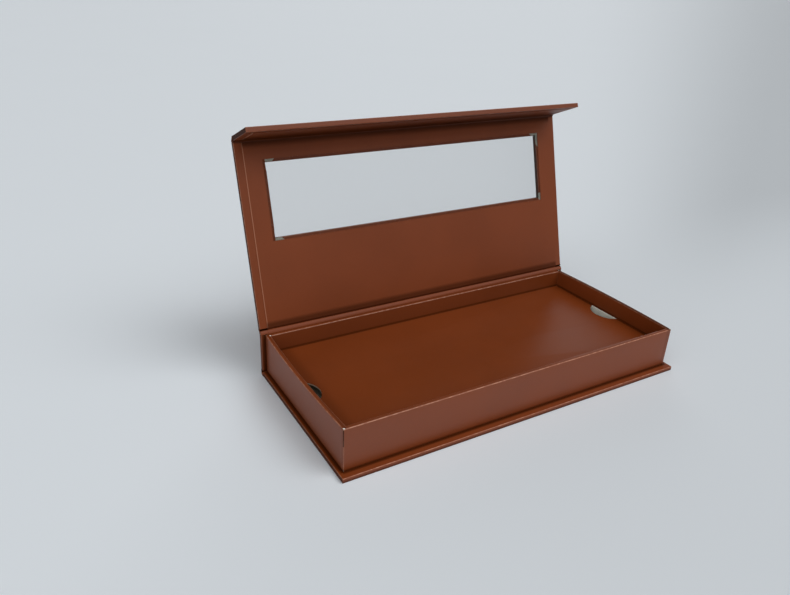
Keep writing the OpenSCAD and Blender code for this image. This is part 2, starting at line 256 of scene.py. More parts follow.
class StudioSettings(bpy.types.PropertyGroup):
    """Camera, lights and floor"""

    camera_spot: bpy.props.FloatVectorProperty(
        name="Camera",
        description="Place of the camera",
        default=(-200.06 * MM, -246.5 * MM, 193.09 * MM),
        subtype="TRANSLATION",
        unit="LENGTH",
        size=3,
    )
    azimuth: bpy.props.FloatProperty(
        name="Azimuth",
        description="Direction the camera looks in, from the box's depth towards its right",
        default=math.radians(31.282),
        subtype="ANGLE",
    )
    pitch: bpy.props.FloatProperty(
        name="Pitch",
        description="How far the camera looks down",
        default=math.radians(25.786),
        subtype="ANGLE",
    )
    roll: bpy.props.FloatProperty(
        name="Roll",
        description="Lean of the camera about its own axis",
        default=math.radians(2.603),
        subtype="ANGLE",
    )
    lens: bpy.props.FloatProperty(
        name="Focal Length",
        description="Focal length on a sensor 36 mm wide",
        default=31.403,
        subtype="DISTANCE_CAMERA",
        unit="CAMERA",
    )
    shift: bpy.props.FloatVectorProperty(
        name="Lens Shift",
        description="Sideways and upward shift of the lens, as shares of the picture's width",
        default=(0.00063, 0.0019),
        size=2,
    )
    light: bpy.props.FloatProperty(
        name="Light",
        description="Strength of all the soft lights together",
        default=1.0,
        min=0,
    )
    floor: bpy.props.FloatVectorProperty(
        name="Floor",
        description="Colour of the pale floor",
        default=(0.84, 0.893, 0.94),
        subtype="COLOR",
        size=3,
        min=0,
        max=1,
    )
    # The floor's shade to the right is painted in its colour.
    falloff: bpy.props.FloatProperty(
        name="Floor Falloff",
        description="How much darker the floor is in the soft shade far to the right",
        default=0.28,
        subtype="FACTOR",
        min=0,
        max=1,
    )


class Signal:
    """A shader socket that takes part in plain arithmetic"""

    def __init__(self, sheet, socket):
        self.sheet = sheet
        self.socket = socket

    def _math(self, operation, *values):
        sockets = dict(enumerate(values))
        return self.sheet.node("ShaderNodeMath", {"operation": operation}, sockets)

    def __add__(self, other):
        return self._math("ADD", self, other)

    def __radd__(self, other):
        return self._math("ADD", other, self)

    def __sub__(self, other):
        return self._math("SUBTRACT", self, other)

    def __rsub__(self, other):
        return self._math("SUBTRACT", other, self)

    def __mul__(self, other):
        return self._math("MULTIPLY", self, other)

    def __rmul__(self, other):
        return self._math("MULTIPLY", other, self)

    def __truediv__(self, other):
        return self._math("DIVIDE", self, other)

    def __abs__(self):
        return self._math("ABSOLUTE", self)

    def larger(self, other):
        """The larger of two values"""
        return self._math("MAXIMUM", self, other)

    def rise(self, start, end):
        """0 up to start, 1 from end on, and smooth between"""
        settings = {"interpolation_type": "SMOOTHSTEP"}
        return self.sheet.node("ShaderNodeMapRange", settings, {0: self, 1: start, 2: end})

    def between(self, low, high, soft=0.1):
        """1 between low and high, with soft edges"""
        return self.rise(low - soft, low + soft) * (1.0 - self.rise(high - soft, high + soft))


class Sheet:
    """The node tree of a material or a world"""

    def __init__(self, owner):
        self.owner = owner
        owner.use_nodes = True
        self.tree = owner.node_tree
        self.tree.nodes.clear()

    def node(self, kind, settings=None, sockets=None, output=0):
        """Adds a node: its settings first, then the values or links of its sockets"""
        added = self.tree.nodes.new(kind)
        for key, value in (settings or {}).items():
            setattr(added, key, value)
        for key, value in (sockets or {}).items():
            if isinstance(value, Signal):
                self.tree.links.new(value.socket, added.inputs[key])
            else:
                added.inputs[key].default_value = value
        return Signal(self, added.outputs[output]) if added.outputs else None

    def place(self, shuts):
        """Place on the piece in millimetres, swung back to where the shut box has it"""
        spot = self.turned(self.node("ShaderNodeTexCoord", output="Object"), shuts)
        moved = self.node("ShaderNodeVectorMath", {"operation": "ADD"}, {0: spot, 1: shuts.translation})
        return self.node("ShaderNodeVectorMath", {"operation": "SCALE"}, {0: moved, "Scale": 1 / MM})

    def turned(self, vector, shuts):
        """A direction turned back to where the shut box has it"""
        sockets = {"Vector": vector, "Angle": shuts.to_euler().x}
        return self.node("ShaderNodeVectorRotate", {"rotation_type": "X_AXIS"}, sockets)

    def parts(self, vector):
        """The three numbers of a vector"""
        split = self.node("ShaderNodeSeparateXYZ", sockets={0: vector}).socket.node
        return [Signal(self, socket) for socket in split.outputs]

    def stretched(self, vector, x, y, z):
        """A vector with each number scaled"""
        return self.node("ShaderNodeVectorMath", {"operation": "MULTIPLY"}, {0: vector, 1: (x, y, z)})

    def cloud(self, vector, scale, detail=2.0, rough=0.5):
        """Noise from 0 to 1, with about scale blobs to the millimetre"""
        sockets = {"Vector": vector, "Scale": scale, "Detail": detail, "Roughness": rough}
        return self.node("ShaderNodeTexNoise", sockets=sockets)

    def mixed(self, factor, first, second):
        """A colour between two colours"""
        settings = {"data_type": "RGBA"}
        return self.node("ShaderNodeMix", settings, {0: factor, 6: first, 7: second}, output=2)

    def bumped(self, height, depth):
        """A surface bumped by a height from 0 to 1, depth metres deep"""
        return self.node("ShaderNodeBump", sockets={"Height": height, "Distance": depth, "Strength": 1.0})

    def finished(self, shade=None, **sockets):
        """Closes a material's tree with a Principled shader, darkened by painted shade, and returns the
        material
        """
        named = {key.replace("_", " "): value for key, value in sockets.items()}
        shader = self.node("ShaderNodeBsdfPrincipled", sockets=named)
        if shade:
            black = self.node("ShaderNodeBsdfDiffuse", sockets={"Color": rgba(BLACK)})
            shader = self.node("ShaderNodeMixShader", sockets={0: shade, 1: shader, 2: black})
        self.node("ShaderNodeOutputMaterial", sockets={"Surface": shader})
        return self.owner


def material_sheet(name):
    """An empty node tree in a new material"""
    return Sheet(bpy.data.materials.new(name))


def rgba(colour, lift=1.0):
    """A colour with full opacity, lightened or darkened"""
    return (*(channel * lift for channel in colour), 1.0)


def covering_paper(
    name, box, shuts=Matrix(), wear_and_highlight=1.0, rough=0.43, ior=1.52, lift=1.0, painted_shades=(), cut=None, ends=0.0
):
    """Satin brown paper, a little cloudy, with fine fibres, and worn folds that also carry a painted
    highlight

    It is darkened by painted shade in bands and, by ends, on its end faces. lift lightens or darkens the
    whole paper of a piece, as painted light. cut gives the place of a pale line along the left cut edge,
    partly wear and partly painted highlight.
    """
    sheet = material_sheet(name)
    spot = sheet.place(shuts)
    places = sheet.parts(spot)
    broad = sheet.cloud(spot, 0.035, 3.0)
    mottle = sheet.cloud(spot, 1.1, 4.0, 0.6)
    fibre = sheet.cloud(sheet.stretched(spot, 5.0, 1.6, 5.0), 1.0, 3.0, 0.65)
    facing = sheet.turned(sheet.node("ShaderNodeTexCoord", output="Normal"), shuts)
    across, along, upward = [abs(part) for part in sheet.parts(facing)]
    folded = 1.0 - across.larger(along).larger(upward)
    # Folds are lighter, most of all where they face up: partly real wear, partly painted highlight.
    level = 0.3 + 0.7 * upward.rise(0.05, 0.3)
    worn_and_highlit = folded.rise(0.02, 0.2) * level * (0.35 + 0.65 * sheet.cloud(spot, 0.5, 4.0).rise(0.38, 0.62))
    # lift makes a piece's paper lighter or darker: painted light.
    clear = sheet.mixed(broad.rise(0.3, 0.7), rgba(box.brown, 0.95 * lift), rgba(box.brown, 1.05 * lift))
    mottled = sheet.mixed(mottle.rise(0.35, 0.75) * 0.35, clear, rgba(box.brown, 1.14 * lift))
    colour = sheet.mixed(worn_and_highlit * wear_and_highlight, mottled, rgba(box.worn_highlight_brown))
    # A pale line painted along the left cut edge: partly wear, partly painted highlight.
    if cut:
        pale = (0.0 - places[0]).rise(cut - 0.45, cut - 0.3)
        colour = sheet.mixed(pale * 0.6, colour, rgba(box.worn_highlight_brown))
    # Painted shade: on end faces by ends, and in each band.
    shade = across.rise(0.6, 0.9) * ends
    for groove in painted_shades:
        away = abs(places[groove.axis] - groove.edge)
        deep = (1.0 - away.rise(groove.near, groove.far)) * groove.depth
        for axis, low, high in groove.within:
            deep = deep * places[axis].between(low, high)
        shade = shade.larger(deep)
    return sheet.finished(
        shade=shade,
        Base_Color=colour,
        Roughness=rough + 0.09 * broad + 0.05 * mottle - 0.05 * worn_and_highlit,
        IOR=ior,
        Normal=sheet.bumped(fibre * 0.6 + mottle * 0.4, 0.018 * MM),
    )


def greyboard(name, colour, shuts=Matrix(), torn=None):
    """Bare pulp board: flecked and layered

    torn gives the settings and corners of a window with brown paper left on the board round it; with torn,
    the board's cut faces also get painted shade.
    """
    sheet = material_sheet(name)
    spot = sheet.place(shuts)
    flecks = sheet.cloud(spot, 2.2, 5.0, 0.7)
    layers = sheet.cloud(sheet.stretched(spot, 0.3, 0.3, 4.0), 1.0, 3.0)
    base = sheet.mixed(layers.rise(0.35, 0.65), rgba(colour, 0.86), rgba(colour))
    flecked = sheet.mixed(flecks.rise(0.52, 0.72) * 0.55, base, rgba(colour, 0.55))
    shade = None
    if torn:
        box, low, high = torn
        low, high = low / MM, high / MM
        x, y, _ = sheet.parts(spot)
        ragged = (flecks - 0.5) * 0.8
        at_left = (ragged - x).rise(-low.x - 0.1, 0.1 - low.x)
        past_right = x.rise(high.x - 0.1, high.x + 0.1)
        hinge_side = (y + ragged).rise(high.y - 0.1, high.y + 0.1)
        by_hinge = hinge_side * (x + ragged).rise(0.0, 1.0) * (1.0 - past_right)
        beside = past_right * y.rise(low.y + 12.0, low.y + 14.0)
        at_right = beside * (1.0 - (y + ragged).rise(high.y - 3.0, high.y - 2.6))
        papered = at_left.larger(by_hinge).larger(at_right)
        flecked = sheet.mixed(papered, flecked, rgba(box.brown))
        # Painted shade on the board's cut faces round the window.
        facing = sheet.turned(sheet.node("ShaderNodeTexCoord", output="Normal"), shuts)
        shade = (1.0 - abs(sheet.parts(facing)[2]).rise(0.3, 0.7)) * 0.75
    return sheet.finished(
        shade=shade,
        Base_Color=flecked,
        Roughness=0.86 + 0.1 * flecks,
        Normal=sheet.bumped(flecks * 0.7 + layers * 0.3, 0.05 * MM),
    )


def magnet_metal(name):
    """Nickel plating with fine scratches"""
    sheet = material_sheet(name)
    spot = sheet.place(Matrix())
    scratches = sheet.cloud(sheet.stretched(spot, 9.0, 0.6, 9.0), 1.0, 4.0)
    return sheet.finished(
        Base_Color=sheet.mixed(scratches, rgba(DULL_NICKEL), rgba(BRIGHT_NICKEL)),
        Metallic=1.0,
        Roughness=0.24 + 0.2 * scratches,
        Normal=sheet.bumped(scratches, 0.004 * MM),
    )


def clear_film(name):
    """Thin clear film that lies a little unevenly in its frame and shows more when seen at a slant"""
    sheet = material_sheet(name)
    spot = sheet.place(LID_SHUTS)
    ripple = sheet.cloud(spot, 0.045, 2.0)
    dust = sheet.cloud(spot, 1.6, 5.0, 0.7)
    slanting = sheet.node("ShaderNodeFresnel", sockets={"IOR": FILM_IOR})
    return sheet.finished(
        Base_Color=sheet.mixed(dust.rise(0.6, 0.8), rgba(CLEAR_FILM), rgba(DUSTY_FILM)),
        Roughness=0.06 + 0.05 * dust,
        IOR=FILM_IOR,
        Alpha=0.05 + 0.5 * slanting + 0.03 * dust.rise(0.62, 0.8),
        Normal=sheet.bumped(ripple, 0.5 * MM),
    )


def floor_paper(name, studio):
    """Plain pale studio floor, a little uneven, with painted soft shade to the right of the box and in front
    of it

    The painted shade spreads from a point in front of the box on its left, and ends far away from the box.
    """
    sheet = material_sheet(name)
    spot = sheet.place(Matrix())
    broad = sheet.cloud(spot, 0.004, 2.0)
    grain = sheet.cloud(spot, 0.8, 3.0)
    rightward, backward, _ = sheet.parts(spot)
    nearby = 1.0 - abs(rightward).larger(abs(backward)).rise(6000.0, 25000.0)
    behind = backward.rise(-40.0, 160.0)
    start_x, start_y = -200.0, -250.0
    bearing = (rightward - start_x) / (backward - start_y).larger(1.0)
    # Painted shade to the right of the box and, below, in front of it.
    painted_shade_aside = bearing.rise(0.95, 1.65) * behind * nearby
    before = rightward.rise(start_x, 60.0) * (1.0 - behind) * nearby
    pale = sheet.mixed(broad, rgba(studio.floor, 0.99), rgba(studio.floor))
    shaded = sheet.mixed(painted_shade_aside * studio.falloff, pale, rgba(BLACK))
    return sheet.finished(
        Base_Color=sheet.mixed(before * studio.falloff * 0.35, shaded, rgba(BLACK)),
        Roughness=0.8 + 0.1 * grain,
        Specular_IOR_Level=0.15,
    )


def skin(name, points, faces, materials, smooth=True):
    """A mesh object of the given points, faces and materials, with its faces turned outward"""
    mesh = bpy.data.meshes.new(name)
    mesh.from_pydata([tuple(point) for point in points], [], [tuple(face) for face in faces])
    mesh.validate()
    for material in materials:
        mesh.materials.append(material)
    piece = bpy.data.objects.new(name, mesh)
    bpy.context.scene.collection.objects.link(piece)
    tidied = bmesh.new()
    tidied.from_mesh(mesh)
    bmesh.ops.recalc_face_normals(tidied, faces=tidied.faces)
    tidied.to_mesh(mesh)
    tidied.free()
    if smooth:
        mesh.shade_smooth()
        mesh.set_sharp_from_angle(angle=math.radians(50))
    return piece


def looped(rings, closed_rings=True):
    """Points and faces of a skin over rings of equal length, each ring closed on itself

    The last ring joins the first one, or else both of them are capped.
    """
    points = [point for ring in rings for point in ring]
    count = len(rings[0])
    faces = []
    spans = len(rings) if closed_rings else len(rings) - 1
    for i in range(spans):
        for j in range(count):
            here, beside = i * count + j, i * count + (j + 1) % count
            there = (i + 1) % len(rings) * count
            faces.append((here, beside, there + (j + 1) % count, there + j))
    if not closed_rings:
        faces.append(tuple(range(count)))
        faces.append(tuple(reversed(range((len(rings) - 1) * count, len(rings) * count))))
    return points, faces


def arc(centre, radius, start, end, steps):
    """Points on an arc from one angle to another, in degrees"""
    angles = [math.radians(start + (end - start) * i / steps) for i in range(steps + 1)]
    return [(centre[0] + radius * math.cos(a), centre[1] + radius * math.sin(a)) for a in angles]


def rounded_ring(low, high, inset, radius, side_steps, corner_steps=4):
    """A rectangle in plan, set in from its corners and rounded, with steps along each side"""
    x0, y0, x1, y1 = low.x + inset, low.y + inset, high.x - inset, high.y - inset
    r = max(radius - inset, 0.06 * MM)
    corners = [
        (x1 - r, y0 + r, -90),
        (x1 - r, y1 - r, 0),
        (x0 + r, y1 - r, 90),
        (x0 + r, y0 + r, 180),
    ]
    arcs = [arc((x, y), r, start, start + 90, corner_steps) for x, y, start in corners]
    ring = []
    for i, points in enumerate(arcs):
        after = arcs[(i + 1) % 4][0]
        ring += points
        for step in range(1, side_steps):
            share = step / side_steps
            ring.append(tuple(a + (b - a) * share for a, b in zip(points[-1], after)))
    return ring


def bowed(point, box):
    """A point of the tray, where the short walls lean out towards the middle of their rim"""
    x, y, z = point
    middle = (TRAY_LOW.y + TRAY_HIGH.y) / 2
    half = (TRAY_HIGH.y - TRAY_LOW.y) / 2
    along = 1 - min(1, abs(y - middle) / half) ** 2
    up = max(0, (z - TRAY_LOW.z) / (TRAY_HIGH.z - TRAY_LOW.z)) ** 1.3
    near_wall = max(0, min(1, (abs(x) - TRAY_HIGH.x + 3 * WALL) / WALL))
    return Vector((x + math.copysign(box.wall_bow * along * up * near_wall, x), y, z))


def cover_profile(box):
    """Outline across the tray's covering paper: distance in from the tray's face, and height"""
    low, rim = TRAY_LOW.z, TRAY_HIGH.z
    fold = box.fold
    foot = [(box.turn_in, low)] + arc((fold, low + fold), fold, 270, 180, 4)
    rise = [(0, low + (rim - low) * share) for share in (0.25, 0.5, 0.75)]
    outer_rim = arc((fold, rim - fold), fold, 180, 90, 5)
    inner_rim = arc((WALL - fold, rim - fold), fold, 90, 0, 5)
    inside = [(WALL, rim - box.rim_turn / 2), (WALL, rim - box.rim_turn)]
    back = [
        (WALL - PAPER, rim - box.rim_turn),
        (WALL - PAPER, rim - PAPER),
        (PAPER, rim - PAPER),
        (PAPER, low + PAPER),
        (box.turn_in, low + PAPER),
    ]
    return foot + rise + outer_rim + inner_rim + inside + back


def build_tray_cover(box, paper):
    """The tray's covering paper, over its rim, with the short walls bowed as they are"""
    rings = []
    for inset, z in cover_profile(box):
        plan = rounded_ring(TRAY_LOW, TRAY_HIGH, inset, box.corner, WALL_STEPS)
        rings.append([bowed((x, y, z), box) for x, y in plan])
    points, faces = looped(rings)
    cover = skin("tray_cover", points, faces, [paper])
    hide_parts("tray_wrap")
    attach(cover, "base")


def build_bowed_board(box, side, board):
    """The greyboard of one short wall, bowed with its paper"""
    name = SIDES[side]
    low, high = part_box(f"tray_wall_{name}")
    rings = []
    for i in range(WALL_STEPS + 1):
        y = low.y + (high.y - low.y) * i / WALL_STEPS
        ring = [(low.x, low.z), (high.x, low.z), (high.x, high.z), (low.x, high.z)]
        rings.append([bowed((x, y, z), box) for x, z in ring])
    points, faces = looped(rings, closed_rings=False)
    wall = skin(f"tray_board_{name}", points, faces, [board], smooth=False)
    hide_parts(f"tray_wall_{name}")
    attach(wall, "base")


def build_lap(box, paper):
    """The end of the tray's paper, lapped round the front left corner and lifting at the top"""
    low, high = TRAY_LOW, TRAY_HIGH
    start, end = low.y + box.corner, low.y + box.corner + box.lap
    sunk, proud = 0.01 * MM, 0.03 * MM
    lifted, lifts_from = 0.28 * MM, 0.35
    steps = 24
    rings = []
    for i in range(steps + 1):
        share = i / steps
        z = low.z + box.fold + (high.z - low.z - 2 * box.fold) * share
        lift = lifted * max(0, share - lifts_from) * (1 - share) * 4
        inner = bowed((low.x, end, z), box).x + sunk
        face = bowed((low.x, start, z), box).x
        rings.append(
            [
                Vector((face + sunk, start, z)),
                Vector((face - proud, start, z)),
                Vector((inner - 0.6 * PAPER - lift, end - PAPER / 2, z)),
                Vector((inner - 0.5 * PAPER - lift, end, z)),
                Vector((inner - lift, end, z)),
            ]
        )
    points, faces = looped(rings, closed_rings=False)
    lap = skin("tray_paper_lap", points, faces, [paper])
    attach(lap, "base")


def ragged_fleck(centre, radius, seed):
    """Points and faces of a low mound with a ragged edge"""
    peak, edge, foot = 0.05 * MM, -0.04 * MM, -0.06 * MM
    turns = 10
    points = [centre + Vector((0, 0, peak))]
    for i in range(turns):
        angle = math.tau * i / turns
        wobble = 1 + 0.25 * noise.noise(Vector((i * 0.9, *seed)))
        reach = radius * wobble
        points.append(centre + Vector((math.cos(angle) * reach, math.sin(angle) * reach, edge)))
    points.append(centre + Vector((0, 0, foot)))
    faces = []
    for i in range(turns):
        here, after = 1 + i, 1 + (i + 1) % turns
        faces += [(0, here, after), (turns + 1, after, here)]
    return points, faces


def build_rim_slits(board, nick_shade):
    """Where the paper is slit at the rim's corners, a pale fleck of board, painted as bright as a glint, and
    a near-black fleck of painted shade show
    """
    for (side, end), inset in SLIT_INSETS.items():
        x = side * (TRAY_HIGH.x - inset)
        y = TRAY_LOW.y + inset if end == FRONT else TRAY_HIGH.y - inset
        flecks = []
        for number, fleck in enumerate(SLIT_FLECKS):
            centre = Vector((x - side * fleck.shift, y + SLIT_SLANT * fleck.shift, TRAY_HIGH.z))
            flecks.append(ragged_fleck(centre, fleck.radius, (number * 3.1, x * 80)))
        slit = skin(f"rim_slit_{ENDS[end]}_{SIDES[side]}", *joined(*flecks), [board, nick_shade])
        finishes = [number for number, (_, faces) in enumerate(flecks) for _ in faces]
        slit.data.polygons.foreach_set("material_index", finishes)
        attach(slit, "base")


def bezier(start, start_pull, end_pull, end, steps):
    """Points on a cubic curve"""
    points = []
    for i in range(steps + 1):
        t = i / steps
        u = 1 - t
        weights = (u**3, 3 * u * u * t, 3 * u * t * t, t**3)
        pulls = zip(weights, (start, start_pull, end_pull, end))
        points.append(sum((weight * point for weight, point in pulls), Vector((0, 0))))
    return points


def sheet_strip(path, thick, x_low, x_high, steps=20):
    """Rings of a strip of paper that follows a path of (y, z) points and runs along the hinge"""
    outer, inner = [], []
    for i, point in enumerate(path):
        before, after = path[max(i - 1, 0)], path[min(i + 1, len(path) - 1)]
        run = (after - before).normalized()
        across = Vector((run.y, -run.x))
        outer.append(point + across * thick / 2)
        inner.append(point - across * thick / 2)
    outline = outer + inner[::-1]
    rings = []
    for i in range(steps + 1):
        x = x_low + (x_high - x_low) * i / steps
        rings.append([Vector((x, y, z)) for y, z in outline])
    return rings


def joined(*parts):
    """Points and faces of several skins as one"""
    points, faces = [], []
    for more_points, more_faces in parts:
        base = len(points)
        points += more_points
        faces += [tuple(index + base for index in face) for face in more_faces]
    return points, faces


def flat(point):
    """The (y, z) of a point"""
    return Vector((point[1], point[2]))


def direction(opens, y, z):
    """A direction in the shut box, as (y, z) in the modelled pose"""
    return flat(opens.to_3x3() @ Vector((0, y, z)))


def build_hinge(name, node, strips, paper):
    """They bend over their whole path, or only between the two points of it that bend gives.
    """
    skins = []
    for path, x_low, x_high in strips:
        skins.append(looped(sheet_strip(path, PAPER, x_low, x_high), closed_rings=False))
    hinge = skin(name, *joined(*skins), [paper])
    if node:
        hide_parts(node)
    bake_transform(hinge)


def both_ends(path, half_length, width):
    """Two short strips, one at each end of a hinge"""
    return [(path, -half_length, width - half_length), (path, half_length - width, half_length)]


def build_platform_skin(box, paper):
    """The platform's brown face, folded down over its four edges, with a thumb notch at each end"""
    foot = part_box("platform_leg_front")[0].z
    low = Vector((DECK_LOW.x - PAPER, DECK_LOW.y - PAPER, foot))
    high = Vector((DECK_HIGH.x + PAPER, DECK_HIGH.y + PAPER, DECK_HIGH.z))
    fold, corner = box.deck_fold, 1.0 * MM
    profile = [(0, foot), (0, (foot + high.z) / 2)] + arc((fold, high.z - fold), fold, 180, 90, 6)
    rings = []
    for inset, z in profile:
        plan = rounded_ring(low, high, inset, corner, 24)
        rings.append([Vector((x, y, z)) for x, y in plan])
    face = skin("platform_skin", *looped(rings, closed_rings=False), [paper])
    hollow_low = Vector((low.x + PAPER, low.y + PAPER, foot - MM))
    hollow_high = Vector((high.x - PAPER, high.y - PAPER, high.z - PAPER))
    merge(face, skin("hollow", *block(hollow_low, hollow_high), []), "DIFFERENCE")
    for side in (LEFT, RIGHT):
        merge(face, notch_cutter(side), "DIFFERENCE")
    face.data.shade_smooth()
    face.data.set_sharp_from_angle(angle=math.radians(40))
    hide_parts("platform_face")
    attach(face, "platform")


def block(low, high):
    """Points and faces of a plain block"""
    ring = [(low.x, low.y), (high.x, low.y), (high.x, high.y), (low.x, high.y)]
    rings = [[Vector((x, y, z)) for x, y in ring] for z in (low.z, high.z)]
    return looped(rings, closed_rings=False)


def notch_circle(side):
    """Centre and radius of a thumb notch, from the notch in the platform's card"""
    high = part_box("platform_card")[1]
    card = [vertex.co for vertex in NODES["platform_card"].data.vertices]
    inner = [spot for spot in card if side * spot.x > 0 and abs(spot.y) < high.y / 2]
    mouth = [spot for spot in inner if abs(spot.x) > high.x - 0.01 * MM]
    deepest = min(abs(spot.x) for spot in inner)
    middle = sum(spot.y for spot in mouth) / len(mouth)
    half = max(abs(spot.y - middle) for spot in mouth)
    depth = high.x - deepest
    radius = (half * half + depth * depth) / (2 * depth)
    return Vector((side * (deepest + radius), middle)), radius


def notch_cutter(side):
    """A round cutter as wide as a thumb notch, which leaves the folded edge below it"""
    centre, radius = notch_circle(side)
    bottom, top = DECK_LOW.z - 0.02 * MM, DECK_HIGH.z + 2 * MM
    turns = 72
    angles = [math.tau * i / turns for i in range(turns)]
    ring = [(centre.x + radius * math.cos(a), centre.y + radius * math.sin(a)) for a in angles]
    rings = [[Vector((x, y, z)) for x, y in ring] for z in (bottom, top)]
    return skin("notch_cutter", *looped(rings, closed_rings=False), [], smooth=False)


def merge(piece, other, operation):
    """Joins other to piece, or cuts it away, and removes other"""
    boolean = piece.modifiers.new("merge", "BOOLEAN")
    boolean.operation = operation
    boolean.solver = "EXACT"
    boolean.object = other
    bpy.context.view_layer.update()
    graph = bpy.context.evaluated_depsgraph_get()
    mesh = bpy.data.meshes.new_from_object(piece.evaluated_get(graph))
    piece.modifiers.clear()
    piece.data = mesh
    bpy.data.objects.remove(other)


def dress(nodes, material):
    """Gives CAD nodes a finish in place of their flat one"""
    for name in nodes:
        mesh = NODES[name].data
        mesh.materials.clear()
        mesh.materials.append(material)


def settings_of(context):
    """The box's and the studio's settings"""
    return context.scene.cosmetic_box, context.scene.cosmetic_studio


class COSMETICBOX_OT_stage(bpy.types.Operator):
    """Sets the floor, the soft lights and the camera"""

    bl_idname = "cosmetic_box.stage"
    bl_label = "Stage"

    def execute(self, context):
        studio = settings_of(context)[1]
        context.scene.view_settings.view_transform = "Standard"
        self.floor(studio)
        self.lights(context, studio)
        self.camera(context, studio)
        return {"FINISHED"}

    def floor(self, studio):
        """A plain floor that reaches far beyond the box on every side"""
        reach = 60.0
        corners = [Vector((x * reach, y * reach, 0)) for x, y in ((-1, -1), (1, -1), (1, 1), (-1, 1))]
        floor = skin("floor", corners, [(0, 1, 2, 3)], [floor_paper("floor paper", studio)], smooth=False)

    def lights(self, context, studio):
        """Soft round lights far from the box, each brightest at its middle

        The camera sees none of them past the floor's end, but a plain pale sky.
        """
        sheet = Sheet(bpy.data.worlds.new("studio"))
        context.scene.world = sheet.owner
        toward = sheet.node("ShaderNodeTexCoord", output="Generated")
        glow = 0.0
        middle = math.cos(math.radians(5))
        for light in SOFT_LIGHTS:
            around, above = math.radians(light.azimuth), math.radians(light.elevation)
            level = math.cos(above)
            sockets = {0: toward, 1: (math.sin(around) * level, math.cos(around) * level, math.sin(above))}
            facing = sheet.node("ShaderNodeVectorMath", {"operation": "DOT_PRODUCT"}, sockets, "Value")
            rim = math.cos(math.radians(light.spread))
            glow = glow + facing.rise(rim, middle) * light.strength
        seen = sheet.node("ShaderNodeLightPath", output="Is Camera Ray")
        sky = sheet.mixed(seen, glow, rgba(studio.floor, 0.66))
        background = sheet.node("ShaderNodeBackground", sockets={"Color": sky, "Strength": studio.light})
        sheet.node("ShaderNodeOutputWorld", sockets={"Surface": background})

    def camera(self, context, studio):
        """The camera, at the photograph's viewing angle"""
        lens = bpy.data.cameras.new("camera")
        lens.sensor_width = 36
        lens.lens = studio.lens
        lens.shift_x, lens.shift_y = studio.shift
        lens.clip_start = 0.01
        camera = bpy.data.objects.new("camera", lens)
        looking = (
            Matrix.Rotation(-studio.azimuth, 4, "Z")
            @ Matrix.Rotation(math.pi / 2 - studio.pitch, 4, "X")
            @ Matrix.Rotation(studio.roll, 4, "Z")
        )
        camera.matrix_world = Matrix.Translation(Vector(studio.camera_spot)) @ looking
        context.scene.collection.objects.link(camera)
        context.scene.camera = camera


class COSMETICBOX_OT_papers(bpy.types.Operator):
    """Finishes the covering papers and linings that keep their CAD shape"""

    bl_idname = "cosmetic_box.papers"
    bl_label = "Papers"

    def execute(self, context):
        box = settings_of(context)[0]
        # Painted shade on the base paper where the tray stands on it and near the floor; lift lightens it as
        # painted light.
        beside = ((1, TRAY_LOW.y / MM - 0.4, TRAY_HIGH.y / MM + 1.0),)
        before = ((0, TRAY_LOW.x / MM - 0.4, TRAY_HIGH.x / MM + 0.4),)
        by_sides = [PaintedShade(0, side * TRAY_HIGH.x / MM, 0.5, 1.9, 0.65, beside) for side in (LEFT, RIGHT)]
        by_front = PaintedShade(1, TRAY_LOW.y / MM, 0.5, 1.7, 0.65, before)
        by_floor = PaintedShade(2, 0.0, 0.5, 1.9, 0.55)
        painted_shades = [*by_sides, by_front, by_floor]
        dress(["base_wrap"], covering_paper("base paper", box, lift=1.07, painted_shades=painted_shades, ends=0.6))
        dress(["spine_lining"], covering_paper("spine lining paper", box))
        # Painted shade on the spine paper: low down where it meets the base, beside the tray, and on its end
        # faces by ends.
        inside = SPINE_HIGH.y / MM - 0.15
        hollow = PaintedShade(2, TRAY_LOW.z / MM, 1.0, 1.1, 0.95, ((1, 0.0, inside),))
        facing_tray = ((1, 0.0, LINING_HIGH.y / MM),)
        by_tray = [PaintedShade(0, side * TRAY_HIGH.x / MM, 0.6, 2.6, 0.7, facing_tray) for side in (LEFT, RIGHT)]
        dress(["spine_wrap"], covering_paper("spine paper", box, painted_shades=[hollow, *by_tray], ends=0.35))
        # Painted shade on the lid lining: along the hinge, faintly far above it, and in the crease; on the
        # lid's paper at the crease; on the flap lining, towards its corner.
        hinge = PaintedShade(1, LID_HIGH.y / MM, 1.2, 3.9, 0.55)
        above_hinge = PaintedShade(1, LID_HIGH.y / MM, 0.0, 22.0, 0.06)
        crease = PaintedShade(1, LID_LOW.y / MM, 1.0, 4.6, 0.62)
        strip_crease = PaintedShade(1, LID_LOW.y / MM, 0.3, 1.6, 0.6)
        corner = PaintedShade(2, FLAP_HIGH.z / MM, 0.0, 16.0, 0.6)
        cut = LID_LINING_HIGH.x / MM
        # The lid's and flap's end faces get painted shade by ends; lift darkens the flap's paper as painted
        # shade.
        dress(["lid_wrap"], covering_paper("lid paper", box, LID_SHUTS, painted_shades=[strip_crease], ends=0.6))
        dress(["flap_wrap"], covering_paper("flap paper", box, FLAP_SHUTS, wear_and_highlight=0.6, lift=0.88, ends=0.7))
        painted_shades = [hinge, above_hinge, crease]
        lining = covering_paper("lid lining paper", box, LID_SHUTS, 0.5, painted_shades=painted_shades, cut=cut)
        dress(["lid_lining"], lining)
        lining = covering_paper("flap lining paper", box, FLAP_SHUTS, 0.6, painted_shades=[corner], cut=cut)
        dress(["flap_lining"], lining)
        return {"FINISHED"}


